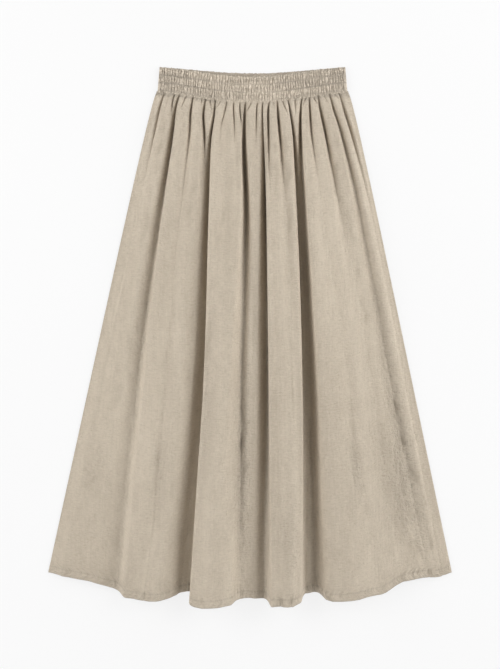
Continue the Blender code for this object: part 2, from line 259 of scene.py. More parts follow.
# Height of the cloth between the valleys, in millimetres above FRONT_LEVEL at each station
CRESTS = (
    dict(across=0.00, high=(0, 0, 0, 0, 0)),
    dict(across=0.012, high=(1, 1, 0.5, 0.3, 0.3)),
    dict(across=0.03, high=(2.3, 5, 4, 3, 2.5)),
    dict(across=0.07, high=(2.3, 12, 11, 9, 8)),
    dict(across=0.15, high=(2.3, 14, 17, 20, 20)),
    dict(across=0.22, high=(2.3, 14, 20, 25, 26)),
    dict(across=0.28, high=(2.3, 13, 19, 22, 15)),
    dict(across=0.325, high=(2.3, 14, 23, 28, 20)),
    dict(across=0.345, high=(2.3, 16, 26, 32, 32)),
    dict(across=0.385, high=(2.3, 16, 27, 36, 41)),
    dict(across=0.425, high=(2.3, 16, 26, 34, 35)),
    dict(across=0.445, high=(2.3, 15, 24, 30, 23)),
    dict(across=0.465, high=(2.3, 14, 22, 26, 18)),
    dict(across=0.485, high=(2.3, 14, 22, 25, 14)),
    dict(across=0.50, high=(2.3, 14, 22, 23, 13)),
    dict(across=0.535, high=(2.3, 14, 22, 24, 15)),
    dict(across=0.555, high=(2.3, 16, 26, 30, 30)),
    dict(across=0.575, high=(2.3, 16, 26, 33, 34)),
    dict(across=0.61, high=(2.3, 16, 27, 35, 38)),
    dict(across=0.635, high=(2.3, 15, 26, 34, 36)),
    dict(across=0.655, high=(2.3, 15, 25, 32, 29)),
    dict(across=0.688, high=(2.3, 13, 12, 12, 10)),
    dict(across=0.712, high=(2.3, 13, 14, 16, 10)),
    dict(across=0.735, high=(2.3, 14, 22, 26, 18)),
    dict(across=0.77, high=(2.3, 15, 25, 31, 31)),
    dict(across=0.85, high=(2.3, 13, 18, 21, 17)),
    dict(across=0.92, high=(2.3, 11, 13, 12, 9)),
    dict(across=0.955, high=(2.3, 8, 8, 6, 4)),
    dict(across=0.975, high=(2.3, 5, 4, 2.5, 1.5)),
    dict(across=0.988, high=(1, 1, 0.5, 0.3, 0.3)),
    dict(across=1.00, high=(0, 0, 0, 0, 0)),
)

# How far the hem lies below its corners
HEM_ARC = (
    dict(across=0.00, drop=0.000),
    dict(across=0.03, drop=0.0025),
    dict(across=0.10, drop=0.0060),
    dict(across=0.15, drop=0.0178),
    dict(across=0.20, drop=0.0285),
    dict(across=0.24, drop=0.0300),
    dict(across=0.29, drop=0.0280),
    dict(across=0.33, drop=0.0300),
    dict(across=0.38, drop=0.0310),
    dict(across=0.45, drop=0.0290),
    dict(across=0.495, drop=0.0318),
    dict(across=0.535, drop=0.0378),
    dict(across=0.565, drop=0.0335),
    dict(across=0.60, drop=0.0307),
    dict(across=0.67, drop=0.0300),
    dict(across=0.74, drop=0.0250),
    dict(across=0.785, drop=0.0203),
    dict(across=0.82, drop=0.0184),
    dict(across=0.845, drop=0.0103),
    dict(across=0.86, drop=0.0048),
    dict(across=0.88, drop=0.0030),
    dict(across=0.90, drop=0.0022),
    dict(across=0.94, drop=0.0040),
    dict(across=0.97, drop=0.0040),
    dict(across=0.985, drop=0.0026),
    dict(across=1.00, drop=0.000),
)

# The back's low folds: place across and reach of their sides in millimetres, each at the seam and
# at the hem, and height in millimetres
BACK_FOLDS = (
    dict(at=(0.10, 0.075), high=2.0, reach=(7, 22)),
    dict(at=(0.21, 0.205), high=2.6, reach=(7, 24)),
    dict(at=(0.39, 0.405), high=2.8, reach=(8, 26)),
    dict(at=(0.58, 0.595), high=2.8, reach=(8, 24)),
    dict(at=(0.72, 0.765), high=2.6, reach=(7, 26)),
    dict(at=(0.87, 0.890), high=2.0, reach=(7, 22)),
)

# Places round the front's cloth where its folds fall steeply lower down
STEEP_SIDES = (0.140, 0.333, 0.445, 0.553, 0.655, 0.722, 0.750)

# The pinched valleys under the seam, one for each gather: their share of the height, the share of
# the panel's length where they have mostly faded, and how many gathers they drift across by then
TUCKS = (
    dict(deep=0.30, reach=0.020, drift=0.2), dict(deep=0.88, reach=0.120, drift=0.0),
    dict(deep=0.30, reach=0.020, drift=0.3), dict(deep=0.85, reach=0.045, drift=0.6),
    dict(deep=0.97, reach=0.300, drift=0.0), dict(deep=0.75, reach=0.018, drift=-0.2),
    dict(deep=0.95, reach=0.060, drift=0.0), dict(deep=0.35, reach=0.012, drift=-0.3),
    dict(deep=0.75, reach=0.014, drift=0.4), dict(deep=0.97, reach=0.090, drift=0.0),
    dict(deep=0.85, reach=0.017, drift=0.4), dict(deep=0.98, reach=0.300, drift=0.0),
    dict(deep=0.80, reach=0.014, drift=-0.6), dict(deep=0.88, reach=0.035, drift=-0.4),
    dict(deep=0.90, reach=0.045, drift=0.4), dict(deep=0.90, reach=0.045, drift=0.5),
    dict(deep=0.98, reach=0.250, drift=0.0), dict(deep=0.85, reach=0.018, drift=-0.7),
    dict(deep=0.92, reach=0.050, drift=-0.2), dict(deep=0.90, reach=0.025, drift=0.0),
    dict(deep=0.96, reach=0.070, drift=0.0), dict(deep=0.50, reach=0.012, drift=0.5),
    dict(deep=0.97, reach=0.090, drift=0.0), dict(deep=0.88, reach=0.020, drift=0.4),
    dict(deep=0.98, reach=0.250, drift=0.0), dict(deep=0.92, reach=0.020, drift=0.0),
    dict(deep=0.98, reach=0.250, drift=0.0), dict(deep=0.75, reach=0.014, drift=-0.5),
    dict(deep=0.94, reach=0.070, drift=0.0), dict(deep=0.85, reach=0.016, drift=0.6),
    dict(deep=0.97, reach=0.130, drift=0.0), dict(deep=0.50, reach=0.016, drift=0.3),
    dict(deep=0.97, reach=0.150, drift=0.0), dict(deep=0.45, reach=0.012, drift=0.5),
    dict(deep=0.97, reach=0.120, drift=0.0), dict(deep=0.40, reach=0.015, drift=-0.2),
)

# Where the cloth is crumpled most: place across and down, reach each way, height in millimetres
CRUMPLES = (
    dict(at=(0.935, 0.58), reach=(0.040, 0.30), high=0.45),
    dict(at=(0.938, 0.80), reach=(0.055, 0.22), high=0.60),
    dict(at=(0.89, 0.80), reach=(0.05, 0.16), high=0.45),
    dict(at=(0.80, 0.74), reach=(0.022, 0.10), high=0.55),
    dict(at=(0.48, 0.72), reach=(0.035, 0.26), high=0.60),
    dict(at=(0.60, 0.86), reach=(0.06, 0.12), high=0.30),
    dict(at=(0.238, 0.76), reach=(0.03, 0.13), high=0.28),
    dict(at=(0.07, 0.78), reach=(0.05, 0.08), high=0.30),
    dict(at=(0.13, 0.50), reach=(0.04, 0.25), high=0.20),
    dict(at=(0.36, 0.60), reach=(0.02, 0.30), high=0.25),
)

# Small creases: the places (across, down) that each runs through, and its half width and depth in
# millimetres
CREASES = (
    dict(path=((0.920, 0.611), (0.935, 0.649), (0.936, 0.718), (0.946, 0.771)), wide=3.0, deep=1.1),
    dict(path=((0.944, 0.771), (0.960, 0.810), (0.966, 0.848)), wide=3.0, deep=1.4),
    dict(path=((0.901, 0.716), (0.912, 0.779), (0.917, 0.825)), wide=3.0, deep=1.0),
    dict(path=((0.940, 0.869), (0.960, 0.909), (0.962, 0.940)), wide=3.0, deep=1.2),
    dict(path=((0.913, 0.840), (0.929, 0.879)), wide=3.0, deep=1.0),
    dict(path=((0.881, 0.708), (0.882, 0.756)), wide=3.0, deep=0.8),
    dict(path=((0.925, 0.925), (0.936, 0.972)), wide=3.0, deep=1.0),
    dict(path=((0.799, 0.616), (0.799, 0.687), (0.806, 0.741)), wide=2.8, deep=1.1),
    dict(path=((0.806, 0.741), (0.806, 0.771), (0.809, 0.830)), wide=3.0, deep=0.5),
    dict(path=((0.894, 0.823), (0.896, 0.894), (0.916, 0.950)), wide=3.0, deep=1.1),
    dict(path=((0.924, 0.662), (0.919, 0.733)), wide=3.0, deep=0.8),
    dict(path=((0.467, 0.616), (0.484, 0.660)), wide=3.0, deep=1.1),
    dict(path=((0.489, 0.645), (0.471, 0.700)), wide=3.0, deep=1.1),
    dict(path=((0.473, 0.692), (0.489, 0.738)), wide=3.0, deep=1.1),
    dict(path=((0.489, 0.728), (0.474, 0.785)), wide=3.0, deep=1.0),
    dict(path=((0.477, 0.781), (0.490, 0.838)), wide=3.0, deep=0.9),
    dict(path=((0.474, 0.845), (0.485, 0.898)), wide=3.0, deep=0.8),
    dict(path=((0.215, 0.620), (0.230, 0.690), (0.238, 0.780)), wide=3.0, deep=0.25),
    dict(path=((0.042, 0.779), (0.066, 0.794)), wide=2.5, deep=0.8),
    dict(path=((0.047, 0.812), (0.066, 0.802)), wide=2.5, deep=0.7),
    dict(path=((0.684, 0.915), (0.698, 0.966)), wide=3.0, deep=1.0),
    dict(path=((0.360, 0.250), (0.362, 0.420), (0.356, 0.560)), wide=3.5, deep=0.7),
    dict(path=((0.385, 0.060), (0.392, 0.160), (0.388, 0.250)), wide=3.0, deep=0.8),
    dict(path=((0.425, 0.040), (0.436, 0.130)), wide=3.0, deep=0.8),
    dict(path=((0.660, 0.080), (0.655, 0.200), (0.648, 0.300)), wide=3.5, deep=0.9),
    dict(path=((0.605, 0.090), (0.602, 0.230)), wide=3.0, deep=0.8),
    dict(path=((0.085, 0.060), (0.082, 0.210), (0.090, 0.330)), wide=4.0, deep=1.0),
    dict(path=((0.240, 0.080), (0.252, 0.240), (0.262, 0.400)), wide=4.0, deep=0.9),
    dict(path=((0.865, 0.150), (0.885, 0.330), (0.888, 0.470)), wide=4.0, deep=1.0),
    dict(path=((0.110, 0.480), (0.098, 0.640)), wide=4.0, deep=0.7),
)

# Where the hem is puckered most: place across, reach and share
PUCKERED = (
    dict(at=0.92, reach=0.07, share=1.0),
    dict(at=0.69, reach=0.05, share=0.8),
    dict(at=0.56, reach=0.04, share=0.5),
    dict(at=0.05, reach=0.05, share=0.4),
)

# ------------------------------------------------------------ curves and noise


class Curve:
    """A smooth line through points, which never swings past them."""

    def __init__(self, places, values):
        self.x, self.y = np.array(places, float), np.array(values, float)
        rises = np.diff(self.y) / np.diff(self.x)
        before, after = rises[:-1], rises[1:]
        safe = np.where(before + after == 0, 1, before + after)
        inner = np.where(before * after > 0, 2 * before * after / safe, 0)
        self.slopes = np.concatenate([rises[:1], inner, rises[-1:]])

    def __call__(self, x):
        i = np.clip(np.searchsorted(self.x, x, side="right") - 1, 0, len(self.x) - 2)
        h = self.x[i + 1] - self.x[i]
        t = np.clip((x - self.x[i]) / h, 0, 1)
        ends = self.y[i] * (1 + 2 * t) * (1 - t) ** 2 + self.y[i + 1] * t * t * (3 - 2 * t)
        return ends + h * t * (1 - t) * (self.slopes[i] * (1 - t) - self.slopes[i + 1] * t)


def blend(a, b, share):
    return a + (b - a) * share


def bump(t):
    """1 in the middle, falling smoothly to 0 at -1 and 1, and 0 past them."""
    return np.clip(1 - np.square(t), 0, None) ** 2


def falloff(distance, wide):
    """1 on a line, falling off softly to both sides."""
    return np.exp(-((distance / wide) ** 2))


def ease(a, b, x):
    """0 up to a, 1 from b on, smooth between."""
    t = np.clip((x - a) / (b - a), 0, 1)
    return t * t * (3 - 2 * t)


def lumps(x, y, seed):
    """Smooth noise between -1 and 1 with about one lump a unit, another for each seed."""
    grid = np.random.default_rng(seed).uniform(-1, 1, (NOISE_SIZE, NOISE_SIZE))
    x, y = np.broadcast_arrays(x, y)
    i, j = np.floor(x).astype(int), np.floor(y).astype(int)
    u, v = ease(0, 1, x - i), ease(0, 1, y - j)
    i, j, right, up = (place % NOISE_SIZE for place in (i, j, i + 1, j + 1))
    return blend(blend(grid[i, j], grid[right, j], u), blend(grid[i, up], grid[right, up], u), v)


def sag(x):
    """0 at both ends of the waist and 1 in the middle, with quiet ends."""
    return np.clip(np.cos(math.pi * x / BAND_FOOT_WIDTH), 0, None) ** 1.5


def panel_width(down):
    return blend(BAND_FOOT_WIDTH, HEM_WIDTH, down) + 2 * SIDE_BULGE * np.sin(math.pi * down ** 0.4)


def seam_y(x):
    return LENGTH / 2 - BAND_DEPTH - SEAM_DIP * sag(x)


hem_arc = Curve([row["across"] for row in HEM_ARC], [row["drop"] for row in HEM_ARC])


def panel_place(across, down, drop_share=1):
    """(x, y) of points of a panel that lies flat."""
    x = (across - 0.5) * panel_width(down) + WAIST_SHIFT * (1 - down)
    seam = seam_y((across - 0.5) * BAND_FOOT_WIDTH)
    hem = LENGTH / 2 - BAND_DEPTH - SIDE_FALL - drop_share * hem_arc(across)
    return x, blend(seam, hem, down)


# ------------------------------------------------------------ the panels' form

valley_lines = [Curve(np.sqrt(VALLEY_STATIONS), row["at"]) for row in VALLEYS]
valley_depths = [Curve(np.sqrt(VALLEY_STATIONS), row["deep"]) for row in VALLEYS]
crest_lines = [Curve(np.sqrt(STATIONS), row["high"]) for row in CRESTS]
crest_places = [row["across"] for row in CRESTS]
tucks = np.array([0, *((row["tuck"] + 0.5) / GATHERS for row in VALLEYS), 1])


def tuck_slides(down):
    """How many gathers each pinched valley has drifted across by this row."""
    return np.array([row["drift"] * ease(0, 1.5 * row["reach"], down) for row in TUCKS])


def fold_row(cloth, down):
    """Where a row of cloth lies across the panel, its height and its sideways lean."""
    place = math.sqrt(down)
    floors = np.array([0, *(line(place) for line in valley_lines), 1])
    crowding = blend(*CROWDING, min(down / 0.25, 1))
    i = np.clip(np.searchsorted(tucks, cloth, side="right") - 1, 0, len(tucks) - 2)
    t = (cloth - tucks[i]) / (tucks[i + 1] - tucks[i])
    t = t - crowding * np.sin(2 * math.pi * t) / (2 * math.pi)
    across = blend(floors[i], floors[i + 1], t)
    full = Curve(crest_places, [line(place) / 1000 for line in crest_lines])(cloth)
    left_over, lean = np.ones_like(cloth), np.zeros_like(cloth)
    for row, floor, depth in zip(VALLEYS, floors[1:], valley_depths):
        left, right = (blend(*row[side], down ** 0.8) / 1000 for side in ("left", "right"))
        reach = np.where(across < floor, left, right)
        share = depth(place) * bump((across - floor) * panel_width(down) / reach)
        left_over *= 1 - share
        lean += row["lean"] * share * full
    start = ease(0, 0.003, down)
    for k, (row, slide) in enumerate(zip(TUCKS, tuck_slides(down))):
        middle = np.interp((k + 0.5 + slide) / GATHERS, cloth, across)
        away = np.abs(across - middle) * panel_width(down)
        width = TUCK_WIDTH * (0.7 + 0.5 * row["deep"]) * (1 + 9 * down)
        pinch = np.clip(1 - away / width, 0, None) ** 1.3
        fade = math.exp(-((down / row["reach"]) ** 1.5))
        left_over *= 1 - row["deep"] * pinch * fade * start
    return across, full * left_over, lean


def troughs(across, down):
    """Depth of the small creases at places of a panel, in millimetres."""
    x, y = (across - 0.5) * panel_width(down), down * SIDE_FALL + 0 * across
    total = np.zeros_like(x)
    x = x + CREASE_WANDER * lumps(y * 75, x * 20, 34)
    broken = np.clip(0.75 + 1.1 * lumps(x * 60, y * 55, 35), 0.1, 1.6)
    for row in CREASES:
        path = [((a - 0.5) * panel_width(d), d * SIDE_FALL) for a, d in row["path"]]
        nearest = np.full_like(x, 1.0)
        for (x1, y1), (x2, y2) in zip(path[:-1], path[1:]):
            dx, dy = x2 - x1, y2 - y1
            t = np.clip(((x - x1) * dx + (y - y1) * dy) / (dx ** 2 + dy ** 2), 0, 1)
            nearest = np.minimum(nearest, np.hypot(x - x1 - t * dx, y - y1 - t * dy))
        total += row["deep"] * falloff(nearest * 1000, row["wide"])
    return total * broken


def crumpling(across, down):
    """How much more the cloth is crumpled than elsewhere, in millimetres."""
    total = np.zeros(np.broadcast(across, down).shape)
    for row in CRUMPLES:
        (a, d), (reach_across, reach_down) = row["at"], row["reach"]
        total += row["high"] * bump((across - a) / reach_across) * bump((down - d) / reach_down)
    return total


def creases(cloth, across, down):
    """Soft pleats, ripples and crumples of washed cloth, in metres."""
    x, y = across * panel_width(down), down * SIDE_FALL
    below = ease(0.01, 0.06, down)
    pleats = lumps(cloth * PLEATS, down * 2.6 + 5, 21)
    pleats = pleats * blend(*PLEAT_HEIGHTS, ease(0.08, 0.5, down)) * below
    bend = 0.4 * lumps(cloth * 6, y * 9, 5)
    ripples = lumps(cloth * RIPPLES + bend, y * 6, 22) * RIPPLE_HEIGHT * ease(0.08, 0.4, down)
    bend = 0.3 * lumps(cloth * 20, y * 12, 6)
    streaks = lumps(cloth * STREAKS + bend, y * 9, 23) * STREAK_HEIGHT * below
    wander = 0.012 * lumps(x * 30, y * 22, 31)
    fine = 1 - 2 * np.abs(lumps((x + wander) * 150, (y + wander) * 70, 41))
    finer = 1 - 2 * np.abs(lumps((x - wander) * 90, (y + wander) * 150, 42))
    crumple = (LEAST_CRUMPLE + crumpling(across, down)) * (fine + 0.6 * finer)
    return (pleats + ripples + streaks + crumple - troughs(across, down)) / 1000


def pleat_shade_and_abrasion(cloth, rows):
    """Painted shade and highlight along soft lengthwise pleats, with abrasion: from -1 in their troughs to 1 on their
    ridges.
    """
    down = rows[:, None]
    bend = 0.35 * lumps(cloth * 9, down * 7, 91)
    broad = lumps(cloth * 38 + bend, down * 3.1, 92)
    narrow = lumps(cloth * 96 + 2 * bend, down * 6.5, 93)
    return 0.55 * broad + 0.6 * narrow * (0.6 + 0.6 * lumps(cloth * 14, down * 5, 94))


def hem_form(along, to_edge):
    """Height that the turned-up hem adds: a thicker strip, its stitches and their puckers."""
    thick = HEM_EXTRA * ease(HEM_TURN + 0.0008, HEM_TURN - 0.0004, to_edge)
    groove = STITCH_GROOVE * falloff(to_edge - HEM_STITCHES, 0.0010)
    turn = 2 * math.pi * along / PUCKER_PITCH + 3 * lumps(along * 60, 0.3, 51) + 120 * to_edge
    puckers = PUCKER_HEIGHT * np.sin(turn) * (0.7 + 0.7 * lumps(along * 45, 0.7, 52))
    near_edge = ease(0.022, 0.011, to_edge) * (0.35 + 0.65 * ease(0, 0.008, to_edge))
    return thick - groove + puckers * near_edge


def panel_marks(cloth, across, rows):
    """What the material reads at each place: painted shade in stitched grooves and along edges, crumpling, hem
    puckers, and painted pleat shade with abrasion.
    """
    down = rows[:, None]
    to_edge = (1 - down) * SIDE_FALL
    to_side = np.minimum(across, 1 - across) * panel_width(down)
    # painted shade along the hem's row of stitches, at its very edge and along the panel's sides
    hem = 0.45 * falloff(to_edge - HEM_STITCHES, 0.0011) + 0.5 * falloff(to_edge, 0.0012)
    sides = 0.35 * falloff(to_side, 0.0020) * ease(0.97, 0.93, down)
    crumple = 0.25 + 0.5 * ease(0.035, 0.010, to_edge) + 0.3 * ease(0.10, 0.0, down)
    crumple = crumple + 2.5 * crumpling(across, down)
    uneven = 0.3
    for row in PUCKERED:
        uneven = uneven + row["share"] * bump((across - row["at"]) / row["reach"])
    pucker = uneven * ease(0.019, 0.011, to_edge) * (0.5 + 0.5 * ease(0, 0.006, to_edge))
    places = zip(np.broadcast_to(across, crumple.shape), rows)
    creased = np.array([troughs(line, place) for line, place in places])
    near_seam = ease(0.05, 0.01, down)
    # painted shade darkens the small creases, and the cloth is paler near the seam
    worn = pleat_shade_and_abrasion(cloth, rows) * (1 + 0.6 * near_seam) + 0.7 * near_seam - 1.3 * creased
    return dict(groove=np.maximum(hem, sides), crumple=crumple, pucker=pucker, worn=worn)


def spaced_rows(*stretches):
    """Places down a panel: (end, number of steps) of each stretch, evenly spaced in it."""
    rows, start = [0.0], 0.0
    for end, steps in stretches:
        rows += [blend(start, end, (i + 1) / steps) for i in range(steps)]
        start = end
    return np.array(rows)


def spaced_columns(columns):
    """Places round the cloth, closer together where the folds fall steeply."""
    fine = np.linspace(0, 1, 2001)
    density = 1 + sum(0.9 * bump((fine - wall) / 0.02) for wall in STEEP_SIDES)
    total = np.concatenate([[0], np.cumsum(density[1:] + density[:-1])])
    return np.interp(np.linspace(0, 1, columns + 1), total / total[-1], fine)


def front_points(columns, rows):
    """Points of the front's cloth, and their places round the cloth and across the panel."""
    even, steep = np.linspace(0, 1, columns + 1), spaced_columns(columns)
    waves = np.sin(2 * math.pi * GATHERS * even) / (2 * math.pi * GATHERS)
    points = np.zeros((len(rows), columns + 1, 3))
    cloths, places = np.zeros(points.shape[:2]), np.zeros(points.shape[:2])
    for j, down in enumerate(rows):
        cloth = even + TUCK_PULL * ease(0.30, 0.10, down) * waves
        cloth = blend(cloth, steep, ease(0.25, 0.75, down))
        slides = np.interp(cloth * GATHERS - 0.5, np.arange(GATHERS), tuck_slides(down))
        cloth = cloth + slides / GATHERS
        cloth[0], cloth[-1] = 0, 1
        across, height, lean = fold_row(cloth, down)
        cloths[j], places[j] = cloth, across
        to_edge = (1 - down) * SIDE_FALL
        edge = ease(0, 0.07, np.minimum(cloth, 1 - cloth))
        height += creases(cloth, across, down) * edge * ease(0, 0.03, down)
        height = np.maximum(height, LEAST_PUFF * bump(min(down / 0.3, 1)) * edge)
        x, y = panel_place(across, down)
        y = y - HEM_TILT * height * down ** 2
        y = y - HEM_WAVE * lumps(cloth * 70, 0.2, 61) * ease(0.03, 0, to_edge)
        height = height + hem_form(cloth * FRONT_HEM_CLOTH, to_edge) * edge
        points[j] = np.stack([x + lean, y, FRONT_LEVEL + height], 1)
    points[:, (0, -1), 2] -= SIDE_TURN
    # the top goes up inside the waistband, level
    points[0, :, 1] += TUCKED_IN
    points[0, :, 2] = SEAM_LEVEL
    points[0, (0, -1), 2] = points[1, (0, -1), 2]
    return points, cloths, places


def back_points(columns, rows):
    """Points of the back's cloth, which lies flat but for low folds, small gathers and its hem."""
    across = np.linspace(0, 1, columns + 1)
    edge = np.clip(30 * np.minimum(across - 0.03, 0.97 - across), 0, 1)
    gathers = np.clip(np.cos(2 * math.pi * (BACK_GATHERS * across - 1 / 3)), 0, None)
    points = np.zeros((len(rows), columns + 1, 3))
    for j, down in enumerate(rows):
        height = np.zeros_like(across)
        for row in BACK_FOLDS:
            place, reach = blend(*row["at"], down), blend(*row["reach"], down) / 1000
            height += row["high"] / 1000 * bump((across - place) * panel_width(down) / reach)
        height *= min(1, down / 0.25)
        swell = blend(*BACK_GATHER_HEIGHTS, ease(0, 0.07, down)) * bump(min(down / 0.3, 1))
        tall = 0.8 + 0.4 * lumps(across * 30, down * 4, 71)
        height = np.maximum(height, swell * tall * edge * gathers)
        soft = 0.5 * lumps(across * 24, down * 6, 72) + 0.25 * lumps(across * 90, down * 60, 73)
        height += 0.0006 * edge * np.clip(soft, 0, None) * ease(0.02, 0.1, down)
        height += 0.0004 * edge * troughs(1 - across, down)  # its outside faces down
        hem = hem_form(across * BACK_HEM_CLOTH, (1 - down) * SIDE_FALL)
        height += np.clip(hem, 0, None) * edge
        x, y = panel_place(across, down, 1 - BACK_HEM_LIFT)
        points[j] = np.stack([x, y, REST_LEVEL + height], 1)
    points[0, :, 1] += TUCKED_IN
    return points


# ------------------------------------------------------------ making the pieces


def flat_lengths(points):
    """How far along the cloth each point is, across and down, in metres."""
    steps = np.linalg.norm(np.diff(points, axis=1), axis=2)
    across = np.concatenate([np.zeros((len(points), 1)), np.cumsum(steps, 1)], 1)
    across -= across[:, -1:] / 2
    steps = np.linalg.norm(np.diff(points, axis=0), axis=2).mean(1)
    down = np.concatenate([[0], np.cumsum(steps)])
    return np.stack([across, np.broadcast_to(-down[:, None], across.shape)], 2)


def flat_size(points):
    """Width and length of a panel's cloth smoothed flat, with its side folds, and its area."""
    lengths = flat_lengths(points)
    widths = lengths[:, -1, 0] - lengths[:, 0, 0]
    falls = -lengths[:, 0, 1]
    area = np.sum((widths[1:] + widths[:-1]) / 2 * np.diff(falls))
    return dict(flat=(round(widths.max(), 3), round(falls[-1], 3)), area=round(float(area), 3))


def set_uv(piece, flat):
    """Gives every corner of the faces its place on the flat cloth, in metres."""
    mesh = piece.data
    corners = np.zeros(len(mesh.loops), int)
    mesh.loops.foreach_get("vertex_index", corners)
    while mesh.uv_layers:
        mesh.uv_layers.remove(mesh.uv_layers[0])
    layer = mesh.uv_layers.new(name="cloth")
    layer.data.foreach_set("uv", flat.reshape(-1, 2)[corners].ravel())


def cloth_grid(name, points, marks, material):
    """A surface through rows of points, the first at the top, with its flat cloth as its UV map.

    marks are values on the points that the cloth's material reads, by name.
    """
    rows, columns = points.shape[0] - 1, points.shape[1] - 1
    bpy.ops.mesh.primitive_grid_add(x_subdivisions=columns, y_subdivisions=rows, size=1)
    piece = bpy.context.object
    piece.name = piece.data.name = name
    place = np.zeros(len(piece.data.vertices) * 3)
    piece.data.vertices.foreach_get("co", place)
    place = place.reshape(-1, 3)
    i = np.rint((place[:, 0] + 0.5) * columns).astype(int)
    j = np.rint((0.5 - place[:, 1]) * rows).astype(int)
    piece.data.vertices.foreach_set("co", points[j, i].ravel())
    set_uv(piece, flat_lengths(points)[j, i])
    for mark, values in marks.items():
        layer = piece.data.attributes.new(mark, "FLOAT", "POINT")
        layer.data.foreach_set("value", np.broadcast_to(values, points.shape[:2])[j, i].ravel())
    piece.data.materials.append(material)
    bpy.ops.object.shade_smooth()
    return piece


def cloth_shell(name, points, marks, wall, material):
    """A panel: a surface with the cloth's thickness."""
    piece = cloth_grid(name, points, marks, material)
    shell = piece.modifiers.new("wall", "SOLIDIFY")
    shell.thickness = wall
    shell.offset = 0
    bpy.ops.object.modifier_apply(modifier=shell.name)
    piece.select_set(False)
    return piece


# ------------------------------------------------------------ the waistband

BAND_COLUMNS = 660  # of the front
BAND_BACK_COLUMNS = 240
BAND_END_STEPS = 8
CHANNEL_ROWS = 9
TOP_ROLL = -0.012  # share of the depth by which the rolled top edge stands up
RIDGES = 70
RIDGE_HEIGHT = 0.0031
RIDGE_LEVEL = 0.62  # ridges of this height leave the wall as it is
MEAN_RIDGE = 0.6
BACK_RIDGE_SHIFT = 0.37  # gives the back ridges of its own
CHANNEL_PUFF = 0.0008
INNER_RIDGES = 0.0002
END_SWELL = 0.0018  # taken off the width for the cloth that swells out at the ends
TOP_WAVE = 0.0013
FOOT_WAVE = 0.0012


def band_loop():
    """(facing, outward, across) round the waistband; facing is 1 on the front, -1 on the back."""
    front = [(1.0, 0.0, i / BAND_COLUMNS) for i in range(BAND_COLUMNS + 1)]
    back = [(-1.0, 0.0, 1 - i / BAND_BACK_COLUMNS) for i in range(BAND_BACK_COLUMNS + 1)]
    turns = [math.pi * i / BAND_END_STEPS for i in range(1, BAND_END_STEPS)]
    right = [(math.cos(turn), math.sin(turn), 1.0) for turn in turns]
    left = [(math.cos(turn), -math.sin(turn), 0.0) for turn in reversed(turns)]
    return np.array(front + right + back + left)


def stitch_rows():
    """How far down the waistband each row of stitches is, as a share of its depth."""
    last = 1 - FOOT_LIP / BAND_DEPTH
    return [last * (i + 1) / CHANNELS for i in range(CHANNELS)]


def band_rows():
    """Share down the band, side of the wall (1 outside, -1 inside), share of the puff, channel."""
    rows = []
    start = 0
    for channel, end in enumerate(stitch_rows()):
        for i in range(CHANNEL_ROWS):
            t = i / CHANNEL_ROWS
            crown = math.sin(math.pi * t) ** 0.6 if t else 0
            rows.append((blend(start, end, t), 1, crown, channel))
        start = end
    rows.append((start, 1, 0, CHANNELS - 1))
    rows.append((blend(start, 1, 0.5), 1, 0.3, CHANNELS))
    rows.append((1, 0.6, 0.1, CHANNELS))
    rows.append((1, -1, 0, CHANNELS))
    rows += [(share, -1, 0, 0) for share in (0.8, 0.6, 0.4, 0.2, 0.08, 0)]
    rows.append((TOP_ROLL, 0, 0, 0))
    return rows


def shirring(facing, across, share, channel):
    """Height of the fine ridges that the elastic draws up, between 0 and about 1."""
    across = across + (facing < 0) * BACK_RIDGE_SHIFT
    turn = 2 * math.pi * RIDGES * across
    turn = turn + 3.0 * lumps(across * 40, channel * 1.3 + share * 2, 81)
    turn = turn + 1.8 * lumps(across * 130, channel * 1.7 + share * 9, 82)
    ridge = np.abs(np.cos(turn / 2)) ** 0.8
    small = np.abs(np.cos(turn * 1.13 + 4 * lumps(across * 60, channel * 2.1 + share * 11, 84)))
    tall = 0.72 + 0.55 * lumps(across * 90, channel * 2.3 + share * 13, 83)
    return ridge * tall * (0.75 + 0.25 * small)


def band_points():
    """Points of the casing's wall: for each place round it, those of the rows of its section."""
    rows = band_rows()
    facing, outward, across = band_loop().T
    quiet = 1 - np.abs(outward)  # 0 at the ends, where the casing turns round
    top_dip = blend(BACK_TOP_DIP, FRONT_TOP_DIP, (facing + 1) / 2)
    points = np.zeros((len(facing), len(rows), 3))
    for j, (share, side, crown, channel) in enumerate(rows):
        lift = np.full(len(facing), side * BAND_WALL / 2)
        ridges = shirring(facing, across, share, channel)
        if side > 0:
            full = (ridges - RIDGE_LEVEL) * RIDGE_HEIGHT * (0.3 + 0.7 * crown)
            swell = crown * CHANNEL_PUFF + full
            lift += swell * np.clip(facing, 0, 1) * (0.3 + 0.7 * quiet)
        elif side < 0:
            lift -= INNER_RIDGES * (ridges - MEAN_RIDGE) * quiet
        radius = (BAND_WALL + BAND_HOLLOW) / 2 + lift
        width = blend(WAIST_WIDTH, BAND_FOOT_WIDTH, share) - END_SWELL
        half_core = width / 2 - BAND_WALL - BAND_HOLLOW / 2
        x = (across - 0.5) * 2 * half_core + radius * outward
        z = BAND_WALL + BAND_HOLLOW / 2 + radius * facing
        edge_wave = TOP_WAVE * (ridges - MEAN_RIDGE) * ease(0.12, 0, share) * quiet
        top = LENGTH / 2 - top_dip * sag(x) + edge_wave
        foot = seam_y(x) - FOOT_WAVE * (ridges - MEAN_RIDGE) * quiet
        points[:, j] = np.stack([x + WAIST_SHIFT, blend(top, foot, share), np.clip(z, 0, None)], 1)
    return points


